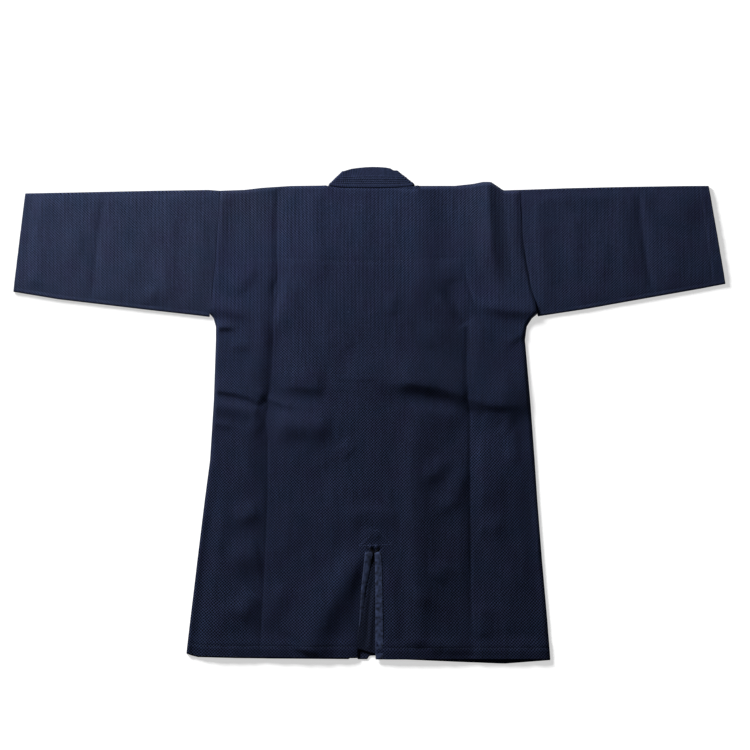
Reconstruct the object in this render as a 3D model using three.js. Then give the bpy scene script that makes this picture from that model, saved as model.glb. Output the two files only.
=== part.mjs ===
// A kendo jacket of one layer of woven cotton, laid flat on a table with its back up.
// Lengths are in millimetres. "Across" runs from the wearer's left hand, below zero, to the
// right hand. "Down" runs from the shoulder line to the hem. Height rises from the table.
import * as THREE from 'three';

// Cloth
const clothThickness = 1.8;
const collarThickness = 2.4;
const tapeThickness = 1;
const hemExtra = 0.7;
const seamGap = 0.3;
const clothLook = { color: 0x242a40, roughness: 0.93, metalness: 0 };
const tapeLook = { color: 0x313a55, roughness: 0.85, metalness: 0 };

// Layers: the left front lies on the table, the right front crosses over it, the back is on top.
const layerStep = clothThickness + seamGap;
const backLevel = 2 * layerStep;
const edgeDropWidth = 9;
const foldFade = 32;
const restingLift = 1.4;

// Body
const bodyLength = 797;
const armholeDepth = 211;
const hemDepth = 19;
const ventTop = 609;
const shoulderShiftReach = 70;
const hemShiftReach = 190;
const armholes = {
  left: { side: -1, start: 259, lean: 0.04, sweep: 0.000197 },
  right: { side: 1, start: 249, lean: 0.04, sweep: 0.000508 },
};

// Half the width of the body on each side, from the armpit to the hem.
const sideOutline = [
  { down: 211, left: 276.2, right: 280.1 },
  { down: 218, left: 270, right: 271 },
  { down: 232, left: 266, right: 262 },
  { down: 255, left: 266, right: 259 },
  { down: 357, left: 269.5, right: 268 },
  { down: 459, left: 276, right: 275.5 },
  { down: 527, left: 285, right: 280 },
  { down: 629, left: 297.5, right: 288 },
  { down: 731, left: 309, right: 297 },
  { down: 797, left: 316, right: 302 },
];

// The upper outline: left shoulder, back neck seam, right shoulder with its raised tuck.
const shoulderOutline = [
  { across: -259, down: 1.5 },
  { across: -217, down: 0 },
  { across: -188, down: -3.4 },
  { across: -140, down: -6.6 },
  { across: -80, down: -7.4 },
  { across: -74, down: -6 },
  { across: -54, down: -3.2 },
  { across: -1, down: -2.4 },
  { across: 38, down: -3 },
  { across: 70, down: -5.2 },
  { across: 77, down: -6.8 },
  { across: 140, down: -6.8 },
  { across: 170, down: -10 },
  { across: 188, down: -13.6 },
  { across: 201, down: -13.6 },
  { across: 214, down: -5 },
  { across: 222, down: 0.8 },
  { across: 249, down: 0 },
];

// How far the hem of each panel lies past the body's length, or short of it where below zero.
const backHem = [
  { across: -316, past: -10 },
  { across: -298, past: -5 },
  { across: -230, past: -3.4 },
  { across: -11, past: -2 },
  { across: 6, past: 0 },
  { across: 302, past: 0 },
];
const leftFrontHem = [
  { across: -316, past: -13 },
  { across: 124, past: -15 },
];
const rightFrontHem = [
  { across: -124, past: -22 },
  { across: -27, past: -18 },
  { across: 0, past: -10 },
  { across: 52, past: 0.5 },
  { across: 224, past: 8 },
  { across: 302, past: 2 },
];

// The two edges of the vent, and the outer edges of the tapes that bind them.
const vent = [
  { down: 609, leftTape: -12.5, leftEdge: 0, rightEdge: 0, rightTape: 12.5 },
  { down: 620, leftTape: -13, leftEdge: -0.6, rightEdge: 4.6, rightTape: 15.6 },
  { down: 648, leftTape: -16, leftEdge: -6, rightEdge: 5.3, rightTape: 17 },
  { down: 678, leftTape: -19, leftEdge: -12.5, rightEdge: 5.4, rightTape: 17.5 },
  { down: 731, leftTape: -22, leftEdge: -17.4, rightEdge: 5.6, rightTape: 18.5 },
  { down: 779, leftTape: -29, leftEdge: -24.4, rightEdge: 5.8, rightTape: 19.2 },
  { down: 797, leftTape: -29.4, leftEdge: -24.8, rightEdge: 5.8, rightTape: 19.2 },
];

// The line where each front is sewn to the collar band, as a distance past the centre line.
const frontSeam = [
  { down: -8, past: -74.4 },
  { down: 20, past: -73 },
  { down: 90, past: -66 },
  { down: 170, past: -52 },
  { down: 240, past: -32 },
  { down: 560, past: 98 },
  { down: 640, past: 118 },
  { down: 800, past: 124 },
];

// Collar band
const bandWidth = 38;
const bandEnd = 690;
const bandColumns = 3;
const neckSag = 2.4;
const crossingStart = 140;
const crossingEnd = 200;
const foldSteps = 6;

// Where the band lies over the back neck, from its left fold to its right fold.
const neckBand = [
  { seamAcross: -72.2, seamDown: -6.5, freeAcross: -46.3, freeDown: -32.4 },
  { seamAcross: -58, seamDown: -4.3, freeAcross: -36, freeDown: -35.6 },
  { seamAcross: -42, seamDown: -3.5, freeAcross: -24.6, freeDown: -37.4 },
  { seamAcross: -22, seamDown: -3.2, freeAcross: -12, freeDown: -38.6 },
  { seamAcross: -1, seamDown: -2.9, freeAcross: -1, freeDown: -39.1 },
  { seamAcross: 20, seamDown: -3.2, freeAcross: 12, freeDown: -38.8 },
  { seamAcross: 38, seamDown: -3.5, freeAcross: 22, freeDown: -37.9 },
  { seamAcross: 54, seamDown: -4.6, freeAcross: 29.5, freeDown: -36.2 },
  { seamAcross: 68.4, seamDown: -6.2, freeAcross: 34.3, freeDown: -31.6 },
];

// Sleeves: their upper and lower outlines from the armhole, 0, to the cuff, 1.
const sleeveHeight = backLevel + clothThickness;
const cuffHemStart = 0.951;
const sleeveCells = { nearArmhole: 2, panel: 10, nearCuff: 2 };
const sleeveSteps = { upper: 10, lower: 5, round: 4 };
const sleeves = {
  left: {
    armhole: armholes.left,
    cuffTop: { across: -589, down: 6 },
    cuffBottom: { across: -609.5, down: 173.4 },
    outline: [
      { along: 0, upper: 1.5, lower: 216 },
      { along: 0.06, upper: 0, lower: 213.5 },
      { along: 0.34, upper: 1.5, lower: 203 },
      { along: 0.77, upper: 4.5, lower: 186 },
      { along: 1, upper: 6, lower: 173.4 },
    ],
  },
  right: {
    armhole: armholes.right,
    cuffTop: { across: 570.4, down: -6.8 },
    cuffBottom: { across: 599, down: 160 },
    outline: [
      { along: 0, upper: 0, lower: 215 },
      { along: 0.25, upper: -2.8, lower: 203 },
      { along: 0.55, upper: -5, lower: 186 },
      { along: 0.87, upper: -6.6, lower: 168 },
      { along: 1, upper: -6.8, lower: 160 },
    ],
  },
};

// The folds that show from a step away. A height below zero is a trough.
const folds = [
  { name: 'left press line', height: -2, halfWidth: 15, path: [[-161, 5], [-174, 370], [-186, 773]] },
  { name: 'right press line', height: -2, halfWidth: 15, path: [[159, 187], [166, 357], [173, 765]] },
  { name: 'right shoulder tuck', height: 4.5, halfWidth: 13, path: [[193, -14], [195, 60], [203, 130]] },
  { name: 'waist fold, left', height: 3.4, halfWidth: 17, path: [[-266, 334], [-210, 343], [-123, 346]] },
  { name: 'waist fold, middle', height: 4.4, halfWidth: 15, path: [[36, 320], [98, 323], [166, 346]] },
  { name: 'waist fold, right', height: 3.6, halfWidth: 15, path: [[176, 352], [217, 364], [264, 356]] },
  { name: 'belly fold', height: 2.6, halfWidth: 22, path: [[-149, 386], [-72, 420]] },
  { name: 'armpit fold, left', height: 4, halfWidth: 13, path: [[-276, 192], [-236, 196], [-188, 206]] },
  { name: 'armpit fold, right', height: 4.6, halfWidth: 14, path: [[179, 189], [225, 196], [278, 206]] },
  { name: 'flank fold, left', height: 2.6, halfWidth: 10, path: [[-258, 232], [-228, 236]] },
  { name: 'flank fold, right', height: 2.6, halfWidth: 10, path: [[236, 268], [254, 252]] },
  { name: 'shoulder blade fold', height: 2.2, halfWidth: 22, path: [[90, 20], [94, 110], [93, 205]] },
  { name: 'slanting fold, right', height: 2.2, halfWidth: 14, path: [[126, 186], [150, 222]] },
  { name: 'vent fold', height: 5, halfWidth: 15, path: [[-34, 632], [-50, 671], [-86, 745], [-106, 773]] },
  { name: 'vent fold, outer', height: 2.6, halfWidth: 20, path: [[-92, 650], [-128, 740], [-140, 775]] },
  { name: 'skirt fold, left', height: 2, halfWidth: 20, path: [[-65, 520], [-66, 640]] },
  { name: 'skirt fold, right', height: 3, halfWidth: 17, path: [[66, 520], [70, 740]] },
  { name: 'skirt fold, outer', height: 2.4, halfWidth: 20, path: [[182, 570], [192, 606], [190, 720]] },
  { name: 'left sleeve fold', height: 2.6, halfWidth: 14, path: [[-476, 14], [-478, 90], [-480, 172]] },
  { name: 'left sleeve soft fold', height: 1.6, halfWidth: 22, path: [[-350, 14], [-352, 190]] },
  { name: 'right sleeve fold', height: -1.6, halfWidth: 13, path: [[450, 0], [456, 85], [470, 165]] },
  { name: 'right sleeve soft fold', height: 1.8, halfWidth: 20, path: [[300, 8], [310, 170]] },
];

function mix(from, to, share) {
  return from + (to - from) * share;
}

function clamp01(value) {
  return Math.min(1, Math.max(0, value));
}

function smoothStep(from, to, value) {
  const share = clamp01((value - from) / (to - from));
  return share * share * (3 - 2 * share);
}

// Reads one column of a table, straight between its rows and level past its ends.
function readTable(table, key, column, value) {
  if (value <= table[0][key]) {
    return table[0][column];
  }
  for (let row = 1; row < table.length; row += 1) {
    const before = table[row - 1];
    const after = table[row];
    if (value <= after[key]) {
      return mix(before[column], after[column], (value - before[key]) / (after[key] - before[key]));
    }
  }
  return table[table.length - 1][column];
}

// Values in equal steps from one to another, without the first.
function steps(from, to, count) {
  return Array.from({ length: count }, (unused, step) => mix(from, to, (step + 1) / count));
}

const sleeveStations = [
  0,
  ...steps(0, 0.12, sleeveCells.nearArmhole),
  ...steps(0.12, 0.84, sleeveCells.panel),
  ...steps(0.84, cuffHemStart - 0.004, sleeveCells.nearCuff),
  cuffHemStart + 0.004,
  1,
];

// The armhole seam: a line that leans and sweeps outwards on its way down.
function armholeAcross(armhole, down) {
  return armhole.side * (armhole.start + armhole.lean * down + armhole.sweep * down * Math.abs(down));
}

function bodyEdge(sideName, down) {
  if (down < armholeDepth) {
    const armhole = armholes[sideName];
    return armholeAcross(armhole, down) - armhole.side * seamGap / 2;
  }
  return armholes[sideName].side * readTable(sideOutline, 'down', sideName, down);
}

function distanceToPath(path, across, down) {
  let nearest = Infinity;
  for (let point = 1; point < path.length; point += 1) {
    const [startAcross, startDown] = path[point - 1];
    const runAcross = path[point][0] - startAcross;
    const runDown = path[point][1] - startDown;
    const along = (across - startAcross) * runAcross + (down - startDown) * runDown;
    const share = clamp01(along / (runAcross * runAcross + runDown * runDown));
    const awayAcross = across - startAcross - share * runAcross;
    const awayDown = down - startDown - share * runDown;
    nearest = Math.min(nearest, Math.hypot(awayAcross, awayDown));
  }
  return nearest;
}

// The cloth rises in a bell across each fold, and never sinks below the layer under it.
function clothLift(across, down) {
  let height = restingLift;
  for (const fold of folds) {
    const away = distanceToPath(fold.path, across, down) / fold.halfWidth;
    height += fold.height * Math.exp(-away * away);
  }
  return (height + Math.hypot(height, 0.8)) / 2;
}

function backLower(across, down) {
  const shoulder = down - readTable(shoulderOutline, 'across', 'down', across);
  const atNeck = across > shoulderOutline[5].across && across < shoulderOutline[9].across;
  const sideName = across < 0 ? 'left' : 'right';
  const side = down < armholeDepth ? foldFade : Math.abs(bodyEdge(sideName, down)) - Math.abs(across);
  const away = atNeck ? side : Math.min(side, shoulder);
  const drop = layerStep * (1 - smoothStep(0, edgeDropWidth, away));
  return backLevel - drop + clothLift(across, down) * smoothStep(0, foldFade, away);
}

// Cloth on a slope is thicker upright than it is through its wall.
function uprightThickness(lowerHeight, across, down, thickness) {
  const step = 2;
  const slopeAcross = (lowerHeight(across + step, down) - lowerHeight(across - step, down)) / (2 * step);
  const slopeDown = (lowerHeight(across, down + step) - lowerHeight(across, down - step)) / (2 * step);
  return thickness * Math.sqrt(1 + Math.min(0.5, slopeAcross * slopeAcross + slopeDown * slopeDown));
}

// Closes a sheet into a wall. Each point has a place on the outer and on the inner skin, and
// each cell has four corners, counterclockwise as seen from outside.
function wallMesh(name, points, cells, look) {
  const positions = [];
  for (const point of points) {
    positions.push(...point.outer);
  }
  for (const point of points) {
    positions.push(...point.inner);
  }
  const faces = [];
  const edgeUses = new Map();
  for (const cell of cells) {
    const [first, second, third, fourth] = cell;
    faces.push(first, second, third, first, third, fourth);
    const inner = cell.map((corner) => corner + points.length);
    faces.push(inner[0], inner[2], inner[1], inner[0], inner[3], inner[2]);
    for (let corner = 0; corner < 4; corner += 1) {
      const from = cell[corner];
      const to = cell[(corner + 1) % 4];
      const key = from < to ? `${from} ${to}` : `${to} ${from}`;
      edgeUses.set(key, edgeUses.has(key) ? null : [from, to]);
    }
  }
  for (const edge of edgeUses.values()) {
    if (edge) {
      const [from, to] = edge;
      faces.push(from, from + points.length, to + points.length, from, to + points.length, to);
    }
  }
  const geometry = new THREE.BufferGeometry();
  geometry.setAttribute('position', new THREE.Float32BufferAttribute(positions, 3));
  geometry.setIndex(faces);
  geometry.computeVertexNormals();
  const mesh = new THREE.Mesh(geometry, new THREE.MeshStandardMaterial(look));
  mesh.name = name;
  return mesh;
}

function bodyPoint(across, down, lower, upper) {
  return { outer: [across, -down, upper], inner: [across, -down, lower] };
}

// Cells between rows of points, where each row is a list of numbers of points.
function cellsBetween(rows, closed = false) {
  const cells = [];
  for (let row = 1; row < rows.length; row += 1) {
    const above = rows[row - 1];
    const below = rows[row];
    const last = closed ? above.length : above.length - 1;
    for (let column = 0; column < last; column += 1) {
      const next = (column + 1) % above.length;
      cells.push([above[column], below[column], below[next], above[next]]);
    }
  }
  return cells;
}

// The downs at which the panels have their rows of points.
const bodyRows = [
  0,
  ...steps(0, armholeDepth, 11),
  ...steps(armholeDepth, 232, 2),
  ...steps(232, ventTop, 19),
  ...steps(ventTop, bodyLength - hemDepth - 1, 9),
  bodyLength - hemDepth,
  bodyLength,
];

// Moves a row's point to the shoulder outline near the top and to the hem near the bottom.
function shapedDown(across, row, hem) {
  const shoulder = readTable(shoulderOutline, 'across', 'down', across);
  const past = readTable(hem, 'across', 'past', across);
  const nearShoulder = 1 - smoothStep(0, shoulderShiftReach, row);
  const nearHem = smoothStep(bodyLength - hemShiftReach, bodyLength, row);
  return row + shoulder * nearShoulder + past * nearHem;
}

function hemThickness(row) {
  return clothThickness + (row > bodyLength - hemDepth - 0.5 ? hemExtra : 0);
}

// Shares of each half of the back, with a close pair at the side edge and a line at the neck point.
const leftHalfColumns = [0, 0.022, ...steps(0.022, 0.742, 10), ...steps(0.742, 1, 3)];
const rightHalfColumns = [0, ...steps(0, 0.252, 3), ...steps(0.252, 0.978, 11), 1];

function backMeshes() {
  const points = [];
  const leftRows = [];
  const rightRows = [];
  const leftTape = [];
  const rightTape = [];
  const addPoint = (across, row) => {
    const down = shapedDown(across, row, backHem);
    const lower = backLower(across, down);
    const upper = lower + uprightThickness(backLower, across, down, hemThickness(row));
    points.push(bodyPoint(across, down, lower, upper));
    return points.length - 1;
  };
  for (const row of bodyRows) {
    const read = (column) => readTable(vent, 'down', column, row);
    const leftOuter = bodyEdge('left', row);
    const rightOuter = bodyEdge('right', row);
    const left = leftHalfColumns.map((share) => addPoint(mix(leftOuter, read('leftTape'), share), row));
    left.push(addPoint(read('leftEdge'), row));
    const parted = row > ventTop + 0.5;
    const right = [parted ? addPoint(read('rightEdge'), row) : left[left.length - 1]];
    const rightInner = read('rightTape');
    right.push(...rightHalfColumns.map((share) => addPoint(mix(rightInner, rightOuter, share), row)));
    leftRows.push(left);
    rightRows.push(right);
    if (parted) {
      leftTape.push(left.slice(-2));
      rightTape.push(right.slice(0, 2));
    }
  }
  const back = wallMesh('back', points, [...cellsBetween(leftRows), ...cellsBetween(rightRows)], clothLook);
  return [
    back,
    tapeMesh('vent_binding_left', points, leftTape),
    tapeMesh('vent_binding_right', points, rightTape),
  ];
}

// A tape is made of the points of the panel that it lies on, moved out.
function tapeMesh(name, panelPoints, panelRows) {
  const points = [];
  const rows = panelRows.map((panelRow) => panelRow.map((number) => {
    const [across, up, height] = panelPoints[number].outer;
    points.push(bodyPoint(across, -up, height + seamGap, height + seamGap + tapeThickness));
    return points.length - 1;
  }));
  return wallMesh(name, points, cellsBetween(rows), tapeLook);
}

// The inner edge of a front, and the outer line of the left band that the right front crosses.
function seamAcross(side, down) {
  return -side * readTable(frontSeam, 'down', 'past', down);
}

function leftFrontMesh() {
  const points = [];
  const rows = bodyRows.map((row) => [0, ...steps(0, 1, 6)].map((share) => {
    const across = mix(bodyEdge('left', row), seamAcross(-1, row) - seamGap / 2, share);
    points.push(bodyPoint(across, shapedDown(across, row, leftFrontHem), 0, clothThickness));
    return points.length - 1;
  }));
  return wallMesh('front_left', points, cellsBetween(rows), clothLook);
}

// The right front lies on the left one up to two lines that follow its edge, then on the table.
function rightFrontMesh() {
  const points = [];
  const rows = bodyRows.map((row) => {
    const inner = seamAcross(1, row) + seamGap / 2;
    const outer = bodyEdge('right', row);
    const stepStart = Math.max(seamAcross(-1, row) + bandWidth + 2, inner + 14);
    const stepEnd = stepStart + 14;
    const raised = layerStep * smoothStep(crossingStart, crossingEnd, row);
    const acrosses = [
      inner,
      ...steps(inner, stepStart, 3),
      ...steps(stepStart, stepEnd, 2),
      ...steps(stepEnd, outer, 4),
    ];
    return acrosses.map((across) => {
      const lower = raised * (1 - smoothStep(stepStart, stepEnd, across));
      const down = shapedDown(across, row, rightFrontHem);
      points.push(bodyPoint(across, down, lower, lower + clothThickness));
      return points.length - 1;
    });
  });
  return wallMesh('front_right', points, cellsBetween(rows), clothLook);
}

// One station of the band: points from the seam edge to the free edge.
function bandStation(points, seam, free, outerHeight, innerHeight, push) {
  const numbers = [];
  for (let column = 0; column < bandColumns; column += 1) {
    const share = column / (bandColumns - 1);
    const across = mix(seam.across, free.across, share);
    const down = mix(seam.down, free.down, share);
    const place = (height, distance) => [
      across + push.across * distance,
      -(down + push.down * distance),
      height(share),
    ];
    points.push({
      outer: place(outerHeight, push.outer),
      inner: place(innerHeight, push.inner),
    });
    numbers.push(points.length - 1);
  }
  return numbers;
}

// Down one front, the band's outer face lies towards the table.
function bandRun(points, side) {
  const push = { across: 0, down: 0, outer: 0, inner: 0 };
  return bodyRows.filter((row) => row > 0 && row <= bandEnd).map((row) => {
    const raised = side > 0 ? layerStep * smoothStep(crossingStart, crossingEnd, row) : 0;
    const across = seamAcross(side, row) - side * seamGap / 2;
    const down = shapedDown(across, row, side > 0 ? rightFrontHem : leftFrontHem);
    const seam = { across, down };
    const free = { across: across - side * bandWidth, down };
    return bandStation(points, seam, free, () => raised, () => raised + clothThickness, push);
  });
}

// At the neck point the band is folded under: its stations turn half round a slanting line.
function bandFold(points, side) {
  const end = side < 0 ? neckBand[0] : neckBand[neckBand.length - 1];
  const seam = { across: end.seamAcross, down: end.seamDown };
  const free = { across: end.freeAcross, down: end.freeDown };
  const run = Math.hypot(free.across - seam.across, free.down - seam.down);
  const away = {
    across: -side * (free.down - seam.down) / run,
    down: side * (free.across - seam.across) / run,
  };
  const topMiddle = backLevel + collarThickness / 2;
  const lowMiddle = clothThickness / 2;
  const axisHeight = (topMiddle + lowMiddle) / 2;
  const radius = (topMiddle - lowMiddle) / 2;
  const stations = [];
  for (let step = 0; step <= foldSteps; step += 1) {
    const angle = Math.PI * (0.5 - step / foldSteps);
    const half = mix(collarThickness, clothThickness, step / foldSteps) / 2;
    const push = {
      ...away,
      outer: (radius + half) * Math.cos(angle),
      inner: (radius - half) * Math.cos(angle),
    };
    const outerHeight = () => axisHeight + (radius + half) * Math.sin(angle);
    const innerHeight = () => axisHeight + (radius - half) * Math.sin(angle);
    stations.push(bandStation(points, seam, free, outerHeight, innerHeight, push));
  }
  return stations;
}

function collarMesh() {
  const points = [];
  const push = { across: 0, down: 0, outer: 0, inner: 0 };
  const neck = neckBand.slice(1, -1).map((station) => {
    const seam = { across: station.seamAcross, down: station.seamDown };
    const free = { across: station.freeAcross, down: station.freeDown };
    const sag = neckSag * (1 - smoothStep(12, 40, Math.abs(station.freeAcross + 5)));
    const inner = (share) => backLevel - sag * share * share;
    const outer = (share) => inner(share) + collarThickness;
    return bandStation(points, seam, free, outer, inner, push);
  });
  const stations = [
    ...bandRun(points, -1).reverse(),
    ...bandFold(points, -1).reverse(),
    ...neck,
    ...bandFold(points, 1),
    ...bandRun(points, 1),
  ];
  return wallMesh('collar', points, cellsBetween(stations), clothLook);
}

// A sleeve is a tube pressed flat: an upper and a lower panel joined by two half rounds.
function sleeveMesh(name, sleeve) {
  const points = [];
  const outerRadius = sleeveHeight / 2;
  const innerRadius = outerRadius - clothThickness;
  const { side } = sleeve.armhole;
  const placeAcross = (down, along) => {
    const armhole = armholeAcross(sleeve.armhole, down) + side * seamGap / 2;
    const share = (down - sleeve.cuffTop.down) / (sleeve.cuffBottom.down - sleeve.cuffTop.down);
    return mix(armhole, mix(sleeve.cuffTop.across, sleeve.cuffBottom.across, share), along);
  };
  const rings = sleeveStations.map((along) => {
    const upperFold = readTable(sleeve.outline, 'along', 'upper', along) + outerRadius;
    const lowerFold = readTable(sleeve.outline, 'along', 'lower', along) - outerRadius;
    const cuffRise = along > cuffHemStart ? 1 + hemExtra / sleeveHeight : 1;
    const ring = [];
    const addPoint = (down, away, height, innerHeight, lift) => {
      const place = (distance, raised) => [placeAcross(down + distance, along), -(down + distance), raised];
      points.push({
        outer: place(away * outerRadius, height * cuffRise + lift),
        inner: place(away * innerRadius, innerHeight + lift),
      });
      ring.push(points.length - 1);
    };
    const addRound = (centre, fromAngle) => {
      for (let step = 1; step < sleeveSteps.round; step += 1) {
        const angle = fromAngle - Math.PI * step / sleeveSteps.round;
        const rise = Math.sin(angle);
        const height = outerRadius * (1 + rise);
        addPoint(centre, Math.cos(angle), height, outerRadius + innerRadius * rise, 0);
      }
    };
    for (let step = 0; step <= sleeveSteps.upper; step += 1) {
      const down = mix(upperFold, lowerFold, step / sleeveSteps.upper);
      const away = Math.min(down - upperFold, lowerFold - down);
      const lift = clothLift(placeAcross(down, along), down) * smoothStep(0, foldFade, away);
      addPoint(down, 0, sleeveHeight, backLevel, lift);
    }
    addRound(lowerFold, Math.PI / 2);
    for (let step = 0; step <= sleeveSteps.lower; step += 1) {
      addPoint(mix(lowerFold, upperFold, step / sleeveSteps.lower), 0, 0, clothThickness, 0);
    }
    addRound(upperFold, -Math.PI / 2);
    return ring;
  });
  const ordered = side > 0 ? rings.reverse() : rings;
  return wallMesh(name, points, cellsBetween(ordered, true), clothLook);
}

const jacket = new THREE.Group();
jacket.name = 'kendo_jacket';
jacket.add(
  leftFrontMesh(),
  rightFrontMesh(),
  ...backMeshes(),
  sleeveMesh('sleeve_left', sleeves.left),
  sleeveMesh('sleeve_right', sleeves.right),
  collarMesh(),
);

// The frame's origin is below the middle of the jacket, on the table.
const extent = new THREE.Box3().setFromObject(jacket);
const middle = extent.getCenter(new THREE.Vector3());
jacket.position.set(-middle.x, -middle.y, -extent.min.z);

export default jacket;
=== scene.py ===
# Kendo jacket of indigo cotton, laid flat with its back up.
# Every shape below is worked out in millimetres as (across, down, height): across from the wearer's
# left hand to the right one, down from the shoulder line, height from the table. A side is -1 for the
# wearer's left and 1 for the right.
import math
from functools import partial

import bpy
import bmesh
import numpy as np
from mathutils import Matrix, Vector


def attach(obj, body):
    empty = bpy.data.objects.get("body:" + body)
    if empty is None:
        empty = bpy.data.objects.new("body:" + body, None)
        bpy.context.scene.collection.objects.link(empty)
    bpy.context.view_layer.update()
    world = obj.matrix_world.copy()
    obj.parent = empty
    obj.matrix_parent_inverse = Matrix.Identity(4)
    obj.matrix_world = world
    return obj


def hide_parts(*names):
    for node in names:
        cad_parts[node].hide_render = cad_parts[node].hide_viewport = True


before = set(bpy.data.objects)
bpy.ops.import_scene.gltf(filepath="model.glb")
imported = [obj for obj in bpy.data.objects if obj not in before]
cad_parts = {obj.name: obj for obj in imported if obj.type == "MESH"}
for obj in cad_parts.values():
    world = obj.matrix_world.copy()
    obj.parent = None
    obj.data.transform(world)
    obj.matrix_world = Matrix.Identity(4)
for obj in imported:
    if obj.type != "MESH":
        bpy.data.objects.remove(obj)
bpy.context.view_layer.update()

middleOfJacket = (-5.25, 382.62)   # the frame's origin in (across, down)
farAway = 1e3                      # so far from an edge that it isn't felt


def toRow(across, down, height):
    # (across, down, height) in millimetres to x, y, z in metres
    across, down, height = np.broadcast_arrays(across, down, height)
    return np.stack([across - middleOfJacket[0], middleOfJacket[1] - down, height], -1) * 0.001


def smoothStep(low, high, value):
    # 0 up to low, 1 from high on, and 3 s^2 - 2 s^3 of the share s of the way between them
    share = np.clip((value - low) / (high - low), 0, 1)
    return share * share * (3 - 2 * share)


def mix(a, b, share):
    # a where the share is 0 and b where it is 1, in a straight line
    return a + (b - a) * share


def bell(away, width):
    # 1 at no distance, and exp(-(distance / width)^2) further out
    return np.exp(-(away / width) ** 2)


def quarterRound(share):
    # the drop of a quarter circle: 0 at share 0, 1 at share 1
    return 1 - np.sqrt(np.clip(1 - share ** 2, 0, 1))


def softFloor(height, softness):
    # the height where it is above zero, easing to zero below it: half of h + sqrt(h^2 + softness^2)
    return (height + np.hypot(height, softness)) / 2


def readColumn(table, key, name, at):
    # a table's column, read in straight lines between the values of its key column
    return np.interp(at, table[key], table[name])


def sideName(side):
    return "left" if side < 0 else "right"


def linearColour(hexText):
    # sRGB hex to the linear values that Blender's shaders take
    parts = [int(hexText[i:i + 2], 16) / 255 for i in (1, 3, 5)]
    return tuple(c / 12.92 if c <= 0.04045 else ((c + 0.055) / 1.055) ** 2.4 for c in parts) + (1.0,)


def setNode(node, settings=None, links=None):
    # a node's fixed settings and input values, and what feeds its inputs: a socket or a node
    for name, value in (settings or {}).items():
        if isinstance(name, str) and hasattr(node, name):
            setattr(node, name, value)
        else:
            node.inputs[name].default_value = value
    for name, source in (links or {}).items():
        node.id_data.links.new(getattr(source, "outputs", [source])[0], node.inputs[name])
    return node


def addNode(tree, kind, settings=None, links=None):
    # a second word in the kind is its operation
    kind, *operation = kind.split()
    node = tree.nodes.new("ShaderNode" + kind)
    if operation:
        node.operation = operation[0]
    return setNode(node, settings, links)


def editMesh(mesh, edit):
    # opens the mesh, makes one edit and writes it back
    work = bmesh.new()
    work.from_mesh(mesh)
    edit(work)
    work.to_mesh(mesh)
    work.free()


def addPiece(name, mesh, material):
    # an object of the mesh, in the scene
    mesh.materials.append(material)
    piece = bpy.data.objects.new(name, mesh)
    bpy.context.collection.objects.link(piece)
    return piece


def gridMesh(name, grids, material, attributes=()):
    # joins grids of points into one mesh. Each grid is a dictionary: points (rows, columns, 3) in
    # metres, cloth (rows, columns, 2) for the UV map, and one (rows, columns) array per attribute.
    faces, start = [], 0
    for grid in grids:
        rows, columns = grid["points"].shape[:2]
        number = np.arange(rows * columns).reshape(rows, columns) + start
        here, after = number[:, :-1], number[:, 1:]
        quads = np.stack([here[:-1], here[1:], after[1:], after[:-1]], -1).reshape(-1, 4)
        faces += (quads[:, ::-1] if grid.get("flip") else quads).tolist()
        start += rows * columns
    points = np.concatenate([grid["points"].reshape(-1, 3) for grid in grids])
    cloth = np.concatenate([grid["cloth"].reshape(-1, 2) for grid in grids])
    mesh = bpy.data.meshes.new(name)
    mesh.from_pydata(points.tolist(), [], faces)
    mesh.polygons.foreach_set("use_smooth", np.ones(len(mesh.polygons), bool))
    corners = np.empty(len(mesh.loops), np.int32)
    mesh.loops.foreach_get("vertex_index", corners)
    uvMap = mesh.uv_layers.new(name="cloth")
    uvMap.data.foreach_set("uv", cloth[corners].astype(np.float32).ravel())
    for attribute in attributes:
        values = [np.broadcast_to(grid[attribute], grid["points"].shape[:2]).ravel() for grid in grids]
        layer = mesh.attributes.new(attribute, "FLOAT", "POINT")
        layer.data.foreach_set("value", np.concatenate(values).astype(np.float32))
    mesh.update()
    return addPiece(name, mesh, material)


def mergeSeams(piece):
    # closes the line where two grids of one piece meet
    editMesh(piece.data, lambda work: bmesh.ops.remove_doubles(work, verts=work.verts, dist=0.00002))


def thicken(piece, thickness):
    # gives the sheet its wall, inwards from the face that is seen
    wall = piece.modifiers.new("wall", "SOLIDIFY")
    wall.thickness = thickness * 0.001
    wall.offset = -1
    wall.use_even_offset = False
    return piece


def waves(across, down, seed, count, longest, shortest, stretch=1.0):
    # soft unevenness: a sum of sine waves of random direction and length, about 1 high in all
    draw = np.random.default_rng(seed)
    total = np.zeros(np.broadcast(across, down).shape)
    for step in range(count):
        angle = draw.uniform(0, math.tau)
        length = shortest * (longest / shortest) ** draw.uniform(0, 1)
        run = across * math.cos(angle) + down * math.sin(angle) / stretch
        total += np.sin(math.tau * run / length + draw.uniform(0, math.tau)) * (length / longest) ** 0.5
    return total / math.sqrt(count / 2)


# The columns of the fold tables: the widths are at the left hand and at the right hand of someone who
# walks along the path, a height below zero is a trough, and a fold fades in and out over a share of its
# length. A row leaves off the last columns where they are as usual.
foldColumns = ("path", "height", "leftWidth", "rightWidth", "fadeIn", "fadeOut", "sharpness")
usualFold = {"fadeIn": 0.3, "fadeOut": 0.3, "sharpness": 2.0}
fadedFold = 0.15   # what is left of the height at a faded end


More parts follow.
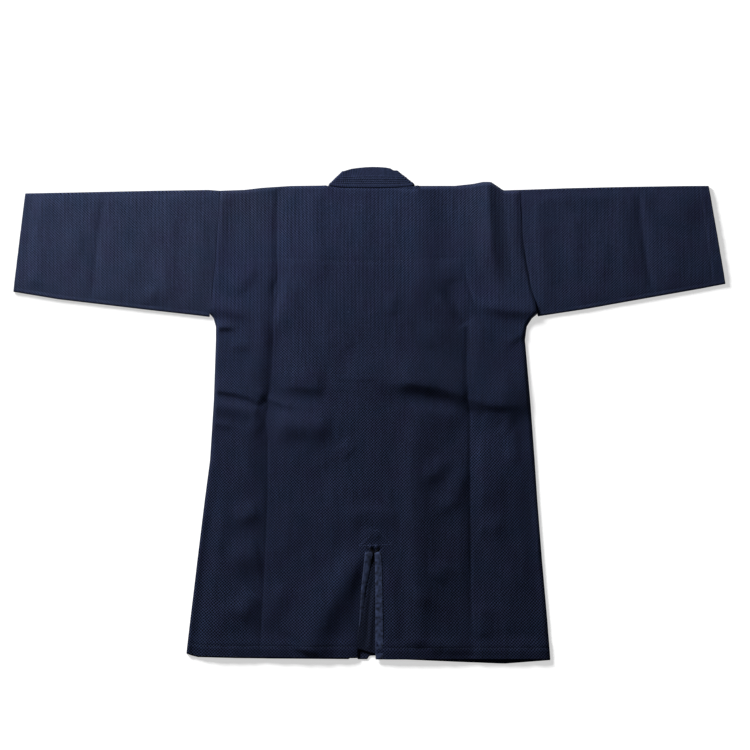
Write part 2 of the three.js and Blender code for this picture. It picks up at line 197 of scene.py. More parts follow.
def foldHeights(folds, across, down):
    # each fold is a bell across its path, height * exp(-(distance / width) ^ sharpness), with one width
    # on its left hand and one on its right, fading out towards its ends
    total = np.zeros(np.broadcast(across, down).shape)
    for row in folds:
        fold = {**usualFold, **dict(zip(foldColumns, row))}
        path = np.array(fold["path"], float)
        runs = np.diff(path, axis=0)
        lengths = np.hypot(runs[:, 0], runs[:, 1])
        before = np.concatenate([[0], np.cumsum(lengths)[:-1]])
        nearest = np.full(total.shape, 1e9)
        leftHand = np.zeros(total.shape)
        along = np.zeros(total.shape)
        for start, run, length, ahead in zip(path[:-1], runs, lengths, before):
            share = ((across - start[0]) * run[0] + (down - start[1]) * run[1]) / length ** 2
            share = np.clip(share, 0, 1)
            awayAcross = across - start[0] - share * run[0]
            awayDown = down - start[1] - share * run[1]
            distance = np.hypot(awayAcross, awayDown)
            nearer = distance < nearest
            nearest = np.where(nearer, distance, nearest)
            leftHand = np.where(nearer, run[1] * awayAcross - run[0] * awayDown, leftHand)
            along = np.where(nearer, (ahead + share * length) / lengths.sum(), along)
        width = np.where(leftHand > 0, fold["leftWidth"], fold["rightWidth"])
        ends = 1.0
        for reach, fromEnd in ((fold["fadeIn"], along), (fold["fadeOut"], 1 - along)):
            if reach:
                ends = ends * mix(fadedFold, 1, smoothStep(0, reach, fromEnd))
        total += fold["height"] * ends * np.exp(-(nearest / width) ** fold["sharpness"])
    return total


cloth = {
    "wall": 1.6,  # thickness of the woven cotton
    "flatTop": 6.0,  # top of the back over the two fronts
    "frontsBelow": 4.4,  # the fronts stay under this where the back lies flat on them
    "resting": 1.4,  # how far the back stands off the fronts where it has no fold
    "give": 2.8,  # how far a crease may press into the layers below
    "edgeRound": 7.0, "edgeDrop": 2.6,  # reach and depth of the rounding at a folded or sewn edge
    "foldFade": 7.0,  # folds die out this near to an edge
}

bodyCut = {
    "length": 797.0,
    "armholeDepth": 211.0,
    "hemDepth": 19.0,
    "ventTop": 609.0,
    "leftArmhole": (259.0, 0.04, 0.000197),   # start, lean and sweep of the seam
    "rightArmhole": (249.0, 0.04, 0.000508),
}

sideOutline = {
    "down": [211, 218, 232, 255, 357, 459, 527, 629, 731, 797],
    "left": [276.2, 270, 266, 266, 269.5, 276, 285, 297.5, 309, 316],
    "right": [280.1, 271, 262, 259, 268, 275.5, 280, 288, 297, 302],
}

shoulderOutline = {
    "across": [-259, -217, -188, -140, -80, -74, -54, -1, 38, 70, 77, 140, 170, 188, 201, 214, 222, 249],
    "down": [1.5, 0, -3.4, -6.6, -7.4, -6, -3.2, -2.4, -3, -5.2, -6.8, -6.8, -10, -13.6, -13.6, -5, 0.8, 0],
}

backHem = {"across": [-316, -298, -230, -11, 6, 302], "past": [-10, -5, -3.4, -2, 0, 0]}
frontHems = {
    -1: {"across": [-316, -300, -230, -40, -34, -27, -25, -8.5, -5.5, 124],
         "past": [-9, -3.2, -1.4, 0.4, -6, -10, 0.5, 0.5, -5.5, -9]},
    1: {"across": [-124, -27, 0, 52, 224, 302], "past": [-22, -18, -10, 0.5, 8, 2]},
}

ventOutline = {
    "down": [609, 620, 648, 678, 731, 779, 797],
    "leftTape": [-12.5, -13, -16, -19, -22, -29, -29.4],
    "leftEdge": [0, -0.6, -6, -12.5, -17.4, -24.4, -24.8],
    "rightEdge": [0, 4.6, 5.3, 5.4, 5.6, 5.8, 5.8],
    "rightTape": [12.5, 15.6, 17, 17.5, 18.5, 19.2, 19.2],
}

frontSeam = {
    "down": [-8, 20, 90, 170, 240, 560, 640, 800],
    "past": [-74.4, -73, -66, -52, -32, 98, 118, 124],
}


def armholeAcross(side, down):
    # the sleeve's seam: start + lean * down + sweep * down^2
    start, lean, sweep = bodyCut[sideName(side) + "Armhole"]
    return side * (start + lean * down + sweep * down * np.abs(down))


def bodyEdge(side, down):
    # the armhole's seam, and below it the outline of the side
    below = side * readColumn(sideOutline, "down", sideName(side), down)
    return np.where(down < bodyCut["armholeDepth"], armholeAcross(side, down), below)


def ventLine(side, part, down):
    # the edge of the vent, or the outer line of the tape that binds it
    return readColumn(ventOutline, "down", sideName(side) + part, down)


def shapedDown(across, row, hem):
    # rows are straight in the middle of the body, and follow the shoulder and the hem at its ends
    shoulder = readColumn(shoulderOutline, "across", "down", across)
    past = readColumn(hem, "across", "past", across)
    nearHem = smoothStep(bodyCut["length"] - 190, bodyCut["length"], row)
    return row + shoulder * (1 - smoothStep(0, 70, row)) + past * nearHem


bodyFolds = [
    # the two lines pressed down the back
    ([(-159, -7), (-162, 51), (-163, 102), (-164, 170)], -2.8, 18.7, 7.1, 0, 0, 1.5),
    ([(-164, 167), (-167, 221), (-169, 272), (-173, 332), (-178, 360)], -3.6, 25.5, 7.8, 0, 0, 1.5),
    ([(-179, 354), (-176, 408), (-176, 476), (-178, 527), (-181, 595), (-186, 697), (-191, 790)],
     -1.8, 25.5, 13.6, 0, 0, 1.4),
    ([(-178, 425), (-178, 527), (-181, 595), (-186, 697), (-191, 790)], -0.9, 2, 2.7, 0, 0),
    ([(164, 187), (161, 255), (159, 320), (161, 357)], -2.6, 11.9, 6.1, 0.3, 0, 1.5),
    ([(162, 350), (166, 425), (166, 493), (167, 629), (169, 790)], -1.6, 13.6, 7.1, 0, 0, 1.5),
    ([(166, 374), (166, 493), (167, 629), (169, 790)], -0.9, 2, 2.7, 0, 0),
    ([(-188, 187), (-190, 272), (-193, 332)], 2.4, 11.9, 20.4, 0.3, 0.2),
    ([(-208, 371), (-210, 425), (-207, 536)], 2.6, 18.7, 23.8, 0.25, 0.35),
    ([(144, 425), (145, 561), (147, 697)], 1.6, 17, 23.8),
    # upper back
    ([(-256, 3), (-263, 76), (-271, 153)], 2.4, 15.3, 13.6, 0.1, 0.4),
    ([(-195, 122), (-215, 153), (-239, 177)], 2.6, 11.9, 17),
    ([(-139, 136), (-150, 187), (-166, 252)], 3.4, 28.9, 11.9),
    ([(-98, -3), (-96, 85), (-101, 187)], 2.2, 18.7, 17, 0.1, 0.4),
    ([(-21, 10), (-18, 68), (-8, 122)], 1.6, 15.3, 17, 0.2, 0.4),
    ([(30, 10), (31, 119)], 1.2, 17, 20.4, 0.2, 0.4),
    ([(79, 0), (82, 76), (88, 162), (81, 238)], 5.2, 28.9, 30.6, 0, 0.4),
    ([(127, 116), (135, 162)], 2.4, 17, 20.4, 0.4, 0.3),
    ([(154, 122), (162, 163), (174, 197), (188, 230)], -1.6, 4.4, 4.4, 0.4, 0.3, 1.6),
    ([(115, 160), (137, 190), (161, 231)], -4.4, 11, 11, 0.4, 0.1, 1.7),
    ([(105, 180), (125, 197), (142, 218)], 2.2, 10.2, 11.9),
    ([(195, -20), (197, 42), (201, 102), (215, 173)], 9.6, 20.4, 30.6, 0, 0.45, 1.35),
    ([(237, 0), (242, 85), (254, 170)], 2.2, 11.9, 10.2, 0.1, 0.3),
    ([(37, 170), (31, 218)], 1.8, 8.5, 13.6),
    ([(47, 204), (64, 233), (76, 272)], 1, 5.1, 8.5),
    ([(-72, 238), (-35, 275)], 1.4, 17, 20.4),
    ([(33, -3), (55, -1), (74, 0)], -2.4, 3.2, 2.9, 0.6, 0.15),
    # under the arms
    ([(-273, 201), (-239, 206), (-201, 216)], 3.8, 17, 11.9, 0, 0.4),
    ([(-271, 234), (-249, 234), (-232, 235)], 4.2, 10.2, 4.4, 0, 0.4, 1.7),
    ([(-244, 264), (-227, 265), (-205, 270)], 2.8, 11.9, 7.8, 0.4, 0.4),
    ([(162, 187), (193, 197), (225, 204), (271, 207)], 6, 23.8, 11.9, 0.45, 0, 1.9),
    ([(227, 272), (234, 258), (247, 249), (266, 245)], 2.6, 13.6, 5.8, 0.5, 0.05, 1.8),
    ([(169, 218), (183, 272), (203, 330)], 1.8, 22.1, 22.1),
    ([(111, 224), (98, 272)], 2.8, 20.4, 20.4),
    # waist
    ([(-278, 339), (-234, 345), (-208, 352), (-184, 364)], 4.2, 22.1, 5.1, 0, 0.12, 1.8),
    ([(-278, 364), (-239, 371), (-188, 381)], 4.8, 13.6, 14.4, 0, 0.15, 1.9),
    ([(-208, 325), (-195, 342), (-178, 355), (-150, 365), (-116, 371)], 2.6, 7.6, 5.1, 0.3, 0.4, 1.8),
    ([(-164, 332), (-127, 332), (-76, 338)], 5.2, 37.4, 11.9, 0.4, 0.25),
    ([(-171, 396), (-127, 400), (-62, 405)], 7.6, 25.5, 22.1, 0.25, 0.3),
    ([(-212, 393), (-188, 406)], 2.4, 13.6, 17, 0.4, 0.2),
    ([(-55, 309), (-4, 316), (47, 326)], 2.6, 34, 30.6, 0.4, 0.3),
    ([(16, 325), (64, 326), (108, 332), (145, 343), (169, 354), (200, 362), (230, 365), (275, 362)],
     12.5, 45.9, 16.1, 0.2, 0.24),
    ([(183, 381), (217, 388), (251, 381)], 3, 6.8, 13.6),
    ([(47, 377), (115, 381), (159, 391)], 3.4, 13.6, 27.2),
    ([(-55, 428), (-35, 452)], 2, 15.3, 15.3),
    ([(217, 398), (234, 411)], 2.4, 13.6, 15.3),
    ([(-269, 396), (-252, 400), (-235, 405)], 2.6, 8.5, 5.1, 0, 0.4, 1.8),
    ([(-188, 381), (-181, 398), (-174, 418)], -2, 5.1, 5.1, 0.3, 0.4, 1.7),
    # skirt, left of the middle
    ([(-269, 493), (-276, 561), (-286, 646), (-297, 731), (-303, 790)], -3.2, 13.6, 10.2, 0.3, 0),
    ([(-252, 518), (-263, 629)], 2, 15.3, 13.6),
    ([(-235, 563), (-213, 552), (-193, 542)], 5, 20.4, 15.3, 0.35, 0.2),
    ([(-246, 632), (-215, 622), (-188, 617)], 4.4, 23.8, 25.5, 0.3, 0.2),
    ([(-196, 683), (-213, 707), (-234, 728)], 4.8, 18.7, 20.4, 0.2, 0.3),
    ([(-147, 666), (-166, 704), (-184, 748)], 3.6, 20.4, 20.4),
    ([(-246, 697), (-266, 765)], 1.6, 17, 17, 0.3, 0.2),
    ([(-123, 425), (-72, 476)], 1.6, 20.4, 27.2),
    ([(-69, 476), (-65, 561), (-67, 638)], 1.8, 8.5, 13.6),
    ([(-54, 558), (-1, 546), (54, 554)], 2.4, 11.9, 22.1),
    ([(-123, 604), (-93, 697)], 2, 23.8, 20.4),
    ([(-137, 527), (-147, 629)], 1.6, 23.8, 20.4),
    ([(-47, 476), (-38, 561), (-45, 609)], 1.4, 17, 20.4),
    # skirt, right of the middle
    ([(212, 425), (215, 527), (213, 629)], 1.6, 11.9, 20.4),
    ([(264, 425), (271, 561), (281, 731)], -1.8, 8.5, 13.6, 0.3, 0.2),
    ([(72, 371), (71, 493), (74, 595), (76, 697), (74, 782)], 5.4, 28.9, 20.4, 0.15, 0.05),
    ([(125, 450), (110, 479), (81, 490)], 4, 15.3, 15.3),
    ([(156, 469), (139, 527), (101, 551)], 3, 11.9, 18.7),
    ([(128, 629), (105, 666)], 3.2, 20.4, 17),
    ([(91, 680), (69, 704)], 2.8, 20.4, 18.7),
    ([(88, 772), (122, 774), (159, 777)], 2.8, 18.7, 10.2),
    ([(186, 408), (188, 493), (184, 552)], 3.2, 20.4, 11.9),
    ([(178, 566), (200, 571), (222, 575)], 2.4, 13.6, 15.3),
    ([(237, 398), (241, 476)], 2.6, 8.5, 15.3),
    ([(188, 697), (184, 765)], 3.2, 17, 13.6, 0.3, 0.2),
    ([(225, 629), (237, 765)], 1.8, 20.4, 20.4, 0.3, 0.2),
    # folds that run out from the top of the vent
    ([(-16, 605), (-40, 648), (-57, 680), (-76, 714), (-96, 753), (-111, 792)],
     7.6, 23.8, 23.8, 0.25, 0.06),
    ([(-11, 622), (-18, 680), (-23, 731), (-28, 794)], 1.2, 5.1, 8.5, 0.2, 0),
    ([(-72, 646), (-103, 697), (-140, 765)], 2.8, 20.4, 23.8, 0.4, 0.1),
    ([(26, 629), (40, 697), (37, 765)], 1.8, 15.3, 13.6, 0.3, 0.1),
    # puckers at the top of the vent
    ([(2.2, 615.4), (-1.7, 612.9), (-9.3, 605.2)], -1.8, 2.4, 2.4, 0, 0.4, 1.6),
    ([(2.2, 617.1), (1.2, 605.2)], -1.8, 2.4, 2.4, 0, 0.4, 1.6),
    ([(2.9, 615.4), (7.6, 612.9), (16.1, 606)], -1.8, 2.4, 2.4, 0, 0.4, 1.6),
    ([(-2, 609), (-4, 602)], 2.4, 3.2, 3.2, 0.2, 0.5),
    ([(6, 609), (9, 602)], 2.4, 3.2, 3.2, 0.2, 0.5),
    ([(-18, 592), (-3, 583), (16, 590)], 1.8, 8.5, 10.2),
]

leftSleeveFolds = [
    ([(-456, -7), (-465, 76), (-470, 122), (-478, 196)], -2.3, 8.5, 5.4, 0.3, 0, 1.4),
    ([(-346, -7), (-349, 85), (-356, 204)], 2, 20.4, 17, 0.1, 0.2),
    ([(-501, 60), (-507, 122)], 1.8, 17, 17, 0.4, 0.4),
    ([(-562, 0), (-575, 170)], 1.6, 17, 10.2, 0.1, 0.1),
    ([(-395, 102), (-419, 162)], 1.6, 20.4, 20.4, 0.4, 0.3),
    ([(-373, 162), (-378, 197)], 2.4, 8.5, 13.6, 0.3, 0.1),
    ([(-290, 17), (-293, 102), (-303, 187)], 1.8, 15.3, 18.7, 0.2, 0.3),
    ([(-582, 12), (-429, 10), (-268, 7)], 1.4, 6.8, 11.9, 0, 0),
]

rightSleeveFolds = [
    ([(449, -14), (457, 60), (463, 102), (475, 180)], -2.5, 6.1, 6.8, 0.1, 0.1, 1.4),
    ([(468, 29), (509, 36), (557, 32)], 2.2, 22.1, 28.9),
    ([(281, 10), (286, 102), (298, 187)], 2.2, 15.3, 11.9, 0.1, 0.2),
    ([(343, 34), (343, 122), (353, 162)], 1.6, 13.6, 15.3, 0.2, 0.2),
    ([(394, 68), (380, 170)], 1.2, 15.3, 18.7),
    ([(424, 10), (428, 153)], 1.2, 15.3, 17, 0.2, 0.3),
    ([(502, 85), (509, 153)], 1.4, 17, 17, 0.4, 0.2),
    ([(254, 12), (404, 7), (557, 2)], 1.4, 6.8, 11.9, 0, 0),
]


def clothLift(folds, across, down, seed):
    # folds and a little unevenness, never below the layer under the cloth
    height = cloth["resting"] + foldHeights(folds, across, down)
    height = height + 0.34 * waves(across, down, seed, 26, 120, 34, 1.5) + cloth["give"]
    return softFloor(height, 0.8) - cloth["give"]


def backTop(across, down, seams=True):
    # height of the back's face: level, plus its folds, less the rounding at its sides and shoulders
    shoulder = down - readColumn(shoulderOutline, "across", "down", across)
    sideWall = np.where(across < 0, across - bodyEdge(-1, down), bodyEdge(1, down) - across)
    side = np.where(down < bodyCut["armholeDepth"], farAway, sideWall)
    atNeck = smoothStep(-84, -70, across) * (1 - smoothStep(66, 80, across))
    away = np.minimum(side, shoulder + 60 * atNeck)
    rounding = cloth["edgeDrop"] * quarterRound(np.clip(1 - away / cloth["edgeRound"], 0, 1))
    leftEdge, rightEdge = ventLine(-1, "Edge", down), ventLine(1, "Edge", down)
    ventAway = np.where(across < leftEdge + 4, leftEdge - across, across - rightEdge)
    atVent = (1 - smoothStep(4, 26, np.abs(ventAway))) * smoothStep(608, 640, down)
    lift = clothLift(bodyFolds, across, down, 3) * (1 - 0.75 * atVent)
    height = cloth["flatTop"] + lift * smoothStep(0, cloth["foldFade"], away) - rounding
    if seams:
        armhole = np.where(down < bodyCut["armholeDepth"] + 4, sideWall, farAway)
        height = height + seamRelief(across, armhole, down, 5) - 1.2 * atNeck * bell(shoulder, 2.2)
        height = height + yokeRelief(across, down) + hemRelief(across, down)
    return height


def seamRelief(side, away, along, seed, share=1.0):
    # beside a seam the cloth dips to it and swells a little behind it, in short puckers
    pucker = 0.5 + 0.5 * waves(along, 0, seed, 9, 26, 8)
    depth = np.where(side < 0, 0.5, 0.25 + 1.3 * smoothStep(50, 140, along))
    return share * ((0.15 + 0.25 * pucker) * bell(away - 9, 5) - depth * bell(away, 2.6))


yokeRow = {
    "across": [-209, -99, -43, 47, 157, 196],
    "down": [117.3, 119, 122.4, 120.7, 116.5, 112.2],
}


def yokeRelief(across, down):
    # the row of stitches that holds the yoke lining sinks in a little
    away = down - readColumn(yokeRow, "across", "down", across)
    inside = smoothStep(-216, -205, across) * (1 - smoothStep(192, 203, across))
    return -0.7 * inside * bell(away, 2.4)


def hemLine(across):
    # the row of stitches along the hem
    return bodyCut["length"] + readColumn(backHem, "across", "past", across) - bodyCut["hemDepth"]


def hemRelief(across, down):
    # the hem is folded over once more: a small step up, the stitches sunk in, puckers below them
    away = down - hemLine(across)
    pucker = waves(across, 0, 21, 10, 40, 12)
    step = 1.8 * smoothStep(-24, 0, away) - 0.9 * smoothStep(2, 19, away)
    return step - 0.8 * bell(away, 1.8) + 0.35 * pucker * smoothStep(-14, 2, away)


threadLines = {
    "spacingAcross": 4.6,
    "down": [0, 100, 250, 400, 500, 800], "spacingDown": [4.25, 4.3, 4.5, 4.85, 5.05, 5.3],
    "leanLeft": (0.45, 0.23, 1.05),    # strength at the left shoulder, at the right one and on the skirt
    "leanRight": (0.24, 0.55, 1.15),
}


def weaveCount(across, down):
    # how many of the two slanting thread lines lie between the centre line and a point: the map that
    # the cloth's pattern follows. The grain spreads with the flare of the skirt.
    left, right = (readColumn(sideOutline, "down", name, down) for name in ("left", "right"))
    flare = np.where(down < 255, 1.0, 262.5 / ((left + right) / 2))   # 262.5 is half the chest
    acrossCount = across * flare / threadLines["spacingAcross"]
    marks = np.linspace(-60, 900, 1921)   # every half millimetre
    spacing = readColumn(threadLines, "down", "spacingDown", marks)
    downCount = np.interp(down, marks, np.concatenate([[0], np.cumsum(0.5 / spacing)[:-1]]))
    return np.stack([downCount - acrossCount, downCount + acrossCount], -1)


def weaveShares(across, down):
    # how strongly each family of slanting lines shows, and the upright rows of the upper half
    onSkirt, toRight = smoothStep(200, 400, down), smoothStep(-120, 80, across)
    leans = [mix(mix(left, right, toRight), skirt, onSkirt)
             for left, right, skirt in (threadLines["leanLeft"], threadLines["leanRight"])]
    return *leans, 1 - onSkirt


def newMaterial(name):
    # the material, what adds a node to it, and its surface
    material = bpy.data.materials.new(name)
    material.use_nodes = True
    return material, partial(addNode, material.node_tree), material.node_tree.nodes["Principled BSDF"]


# In the nodes below, inputs 6 and 7 of a colour mix are its two colours and output 2 is its result.
# Inputs 1 to 4 of a range are its old low and high, and its new low and high. A noise's size is in
# millimetres, with the digits that keep its pattern in place.

def wovenCotton(name, look):
    # Indigo-dyed cotton woven in small diamonds: the raised threads are pale where they cross and the
    # hollows between them near black, partly dye rubbed off the raised threads, partly painted light on
    # them and painted shade in the hollows. The map counts the slanting thread lines.
    material, add, surface = newMaterial(name)
    place = add("TexCoord").outputs["Object"]
    straight = add("UVMap", {"uv_map": "cloth"})

    # the threads wander by most of a line's spacing over 14 mm
    pulled = add("TexNoise", {"Scale": 1000 / 14.2857, "Detail": 1.0}, {"Vector": place})
    wandering = add("VectorMath MULTIPLY_ADD", {1: (0.7, 0.7, 0)}, {0: pulled.outputs[1], 2: straight})
    leftCount, rightCount = list(add("SeparateXYZ", links={0: wandering}).outputs)[:2]

    def lines(source, perCount, strength):
        # the cosine of a count, as strong as the named attribute says
        turned = add("Math MULTIPLY", {1: math.tau * perCount}, {0: source})
        wave = add("Math COSINE", links={0: turned})
        share = add("Attribute", {"attribute_name": strength})
        return add("Math MULTIPLY", links={0: wave, 1: share.outputs["Fac"]})

    between = add("Math SUBTRACT", links={0: rightCount, 1: leftCount})
    leftLines, rightLines = lines(leftCount, 1.0, "leanLeft"), lines(rightCount, 1.0, "leanRight")
    uprightRows = lines(between, threadLines["spacingAcross"] / 2 / look["rowSpacing"], "uprightRows")
    lattice = add("Math ADD", links={0: leftLines, 1: rightLines})
    weave = add("Math MULTIPLY_ADD", {1: look["rowShare"]}, {0: uprightRows, 2: lattice})

    # threads are spun unevenly, so the pattern comes and goes over a centimetre
    spun = add("TexNoise", {"Scale": 1000 / 10.5263, "Detail": 2.0}, {"Vector": place})
    low, high = 0.55 * look["contrast"], 1.45 * look["contrast"]
    strength = add("MapRange", {1: 0.3, 2: 0.7, 3: low, 4: high}, {0: spun})
    pattern = add("Math MULTIPLY", links={0: weave, 1: strength})
    # painted light and shade of the weave: the pattern sets pale raised threads against near-black hollows
    paleShare = add("Math MULTIPLY_ADD", {1: 0.5, 2: 0.5, "use_clamp": True}, {0: pattern})
    # painted sheen: the pale threads turn greyer where the cloth is lit most
    paintedSheenShare = add("Attribute", {"attribute_name": "grey"})
    raised = add("Mix", {"data_type": "RGBA", 6: look["pale"], 7: look["palePaintedSheen"]},
                 {0: paintedSheenShare.outputs["Fac"]})
    colour = add("Mix", {"data_type": "RGBA", 6: look["deep"]}, {0: paleShare, 7: raised.outputs[2]})

    # the dye takes unevenly: clouds of about 38 mm, some redder and some greener
    cloud = add("TexNoise", {"Scale": 1000 / 38.4615, "Detail": 3.0}, {"Vector": place})
    for tint, full in (("violet", 0.72), ("teal", 0.28)):
        share = add("MapRange", {1: 0.5, 2: full, 3: 0.0, 4: 0.55}, {0: cloud})
        colour = add("Mix", {"data_type": "RGBA", "blend_type": "MULTIPLY", 7: look[tint]},
                     {0: share, 6: colour.outputs[2]})

    # the attribute of rubbing and painted light and shade sets how pale the cloth is; rubbing lightens it
    # further in grains of 2.4 mm; thicker and thinner warp threads, 3.8 mm apart so that they show, run
    # down it as faint streaks
    wearAndPaintedLightInput = add("Attribute", {"attribute_name": "wear"})
    upright = add("VectorMath MULTIPLY", {1: (1.0, 0.07, 1.0)}, {0: place})
    level = wearAndPaintedLightInput.outputs["Fac"]
    for size, detail, source, low, high, spread in ((2.38095, 1.0, place, 0.25, 0.75, 0.22),
                                                    (3.84615, 2.0, upright, 0.3, 0.7, 0.14)):
        grain = add("TexNoise", {"Scale": 1000 / size, "Detail": detail}, {"Vector": source})
        share = add("MapRange", {1: low, 2: high, 3: 1 - spread, 4: 1 + spread}, {0: grain})
        level = add("Math MULTIPLY", links={0: share, 1: level})
    rubbedAndShaded = add("VectorMath SCALE", links={0: colour.outputs[2], "Scale": level})

    # specks of lint, 1.6 mm wide
    fluff = add("TexNoise", {"Scale": 1000 / 1.6129, "Detail": 0.0}, {"Vector": place})
    speck = add("MapRange", {1: 0.83, 2: 0.9, 3: 0.0, 4: 0.4}, {0: fluff})
    whole = add("Mix", {"data_type": "RGBA", 7: look["lint"]}, {0: speck, 6: rubbedAndShaded})

    bump = add("Bump", {"Strength": 0.35, "Distance": 0.0004}, {"Height": weave})
    setNode(surface, {
        "Roughness": 0.92, "Specular IOR Level": 0.05, "Sheen Weight": look["sheen"],
        "Sheen Roughness": 0.55, "Sheen Tint": linearColour("#8fa0c4"),
    }, {"Base Color": whole.outputs[2], "Normal": bump})
    return material


def plainCotton(name, deep, pale):
    # Finely woven cotton, tape or thread: too fine to show its threads, so only a soft grain of 6 mm.
    material, add, surface = newMaterial(name)
    place = add("TexCoord").outputs["Object"]
    grain = add("TexNoise", {"Scale": 1000 / 5.88235, "Detail": 4.0}, {"Vector": place})
    share = add("MapRange", {1: 0.35, 2: 0.65}, {0: grain})
    colour = add("Mix", {"data_type": "RGBA", 6: linearColour(deep), 7: linearColour(pale)}, {0: share})
    setNode(surface, {"Roughness": 0.8, "Specular IOR Level": 0.1, "Sheen Weight": 0.04,
                      "Sheen Roughness": 0.5}, {"Base Color": colour.outputs[2]})
    return material


# deep is near black, painted shade in the weave's hollows; the greyer of the two pales goes with painted
# sheen
clothColours = {
    "deep": "#020307", "pale": "#272f4a", "palePaintedSheen": "#272d40", "violet": "#f4dcec", "teal": "#d0eef0",
    "lint": "#4a5470",
}
clothLook = {"rowSpacing": 6.4, "rowShare": 0.15, "contrast": 1.6, "sheen": 0.02,
             **{part: linearColour(hexText) for part, hexText in clothColours.items()}}
indigoCloth = wovenCotton("indigo_cotton", clothLook)
bindingCotton = plainCotton("binding_cotton", "#0d121f", "#2a334d")
threadCotton = plainCotton("indigo_thread", "#161c2b", "#2a3247")
paleThread = plainCotton("pale_thread", "#202a44", "#38425f")
darkThread = plainCotton("dark_thread", "#02040a", "#080c18")
print("finishes made")


def ladder(marks):
    # values from mark to mark, each stretch cut in equal steps of about the size given with it
    values = [marks[0][0]]
    for (start, size), (end, _) in zip(marks[:-1], marks[1:]):
        count = max(1, round(abs(end - start) / size))
        values.extend(np.linspace(start, end, count + 1)[1:])
    return np.array(values)


edgeAways = np.array([0, 0.12, 0.5, 1.1, 1.9, 2.9, 4.1, 5.5, 7.0, 9.0])   # close together at an edge
bodyRows = np.concatenate([edgeAways, ladder([
    (12, 3.9), (188, 2.4), (236, 3.9), (326, 2.6), (374, 3.9), (570, 2.4), (632, 3.9), (768, 2), (797, 1),
])])
weaveAttributes = ("leanLeft", "leanRight", "uprightRows", "wear", "grey")


def sheetGrid(across, down, height, **others):
    # the grid of a woven sheet, and the attributes that its pattern reads
    leanLeft, leanRight, uprightRows = weaveShares(across, down)
    grid = {"points": toRow(across, down, height), "cloth": weaveCount(across, down), "wear": 1.0,
            "grey": 0.5, "leanLeft": leanLeft, "leanRight": leanRight, "uprightRows": uprightRows}
    return {**grid, **others}


def layCloth(name, grids, wall=cloth["wall"], seams=False):
    # a piece of the jacket's cloth, with its wall
    piece = gridMesh(name, grids, indigoCloth, weaveAttributes)
    if seams:
        mergeSeams(piece)
    return thicken(piece, wall)


backRubbingAndPaintedLight = {   # the more, the paler: partly rubbing, partly painted light and painted shade. A patch is its strength, its middle and its reach each way: a painted pool of light at the right of the waist, and a painted shade on the right above the waist.
    "across": [-200, -40, 60, 130, 200],
    # the right shoulder's 1.1 is painted light, lifting the shade that its folds cast
    "shoulders": [0.95, 0.84, 0.84, 0.9, 1.1],
    "skirt": [0.84, 0.89, 0.78, 0.74, 0.84],
    "patches": [(0.2, (200, 432), (75, 60)), (-0.15, (150, 262), (85, 65))],
}


def backToneWithPaintedLight(across, down):
    # paler at the shoulders and darker down the skirt: partly rubbing and the skirt's diamond weave keeping
    # more of its dye, partly painted shade for the light falling off away from the window, with painted
    # patches on top
    upper, lower = (readColumn(backRubbingAndPaintedLight, "across", name, across) for name in ("shoulders", "skirt"))
    level = mix(upper, lower, smoothStep(150, 420, down))
    for strength, middle, reach in backRubbingAndPaintedLight["patches"]:
        level = level + strength * bell(across - middle[0], reach[0]) * bell(down - middle[1], reach[1])
    # darker towards the skirt: partly painted shade for the light falling off away from the window
    return mix(1, 0.8, smoothStep(0, 260, down)) * level


def ventRoll(side, across, row):
    # the cloth turns down a little at the two edges of the vent, most at the foot of the left one
    foot = smoothStep(712, 762, row) if side < 0 else 0 * row
    reach, turn = (6.0 + 5 * foot, 0.9) if side < 0 else (3.0, 0.5)
    near = np.clip(1 - np.abs(across - ventLine(side, "Edge", row)) / reach, 0, 1)
    fromTop = smoothStep(bodyCut["ventTop"] - 4, bodyCut["ventTop"] + 40, row)
    return (fromTop * turn + 1.7 * foot) * near ** 2


def backHalf(side):
    # columns run from the side edge to the middle of the back, or to the vent below its top
    halfWidth = 270
    aways = ladder([(12, 3.9), (90, 1.6), (118, 3.9), (222, 2.1), (266, 1.2), (halfWidth, 1)])
    shares = np.concatenate([edgeAways, aways]) / halfWidth
    rows = bodyRows[:, None]
    across = mix(bodyEdge(side, rows), ventLine(side, "Edge", rows), shares[None, :])
    down = shapedDown(across, rows, backHem)
    height = backTop(across, down) - ventRoll(side, across, rows)
    wear = backToneWithPaintedLight(across, down)
    grey = smoothStep(0.84, 1.02, wear) * (1 - 0.6 * smoothStep(0, 190, across))   # greyer where paler, and most on the left, nearest the window: painted sheen
    return sheetGrid(across, down, height, wear=wear, grey=grey, flip=side > 0)


back = layCloth("back_cloth", [backHalf(-1), backHalf(1)], seams=True)
print("back laid out")


fronts = {
    "bandWidth": 38.0, "bandEnd": 690.0,  # the collar band along the neckline, and how far down it runs
    "layer": 2.1,  # how much higher the right front lies on the left one
    "crossing": (140.0, 200.0),  # where it climbs to that
    "ventMiddle": -10.0,  # across of the part of the right front that shows in the vent
    "ventRise": 0.8, "ventPaintedShade": 0.42,  # how much higher it stands, and how much painted shade darkens it in the vent
}

ventFolds = [   # of the part of the right front that shows in the vent
    ([(0, 625), (-6, 670), (-13, 715), (-17, 770)], 1.5, 3.2, 3.6, 0.3, 0.1),
    ([(4, 660), (0, 715), (-5, 775)], 1.6, 3, 3.6, 0.3, 0),
    ([(-17, 705), (-22, 745), (-25, 795)], 1.7, 4, 8, 0.4, 0),
]

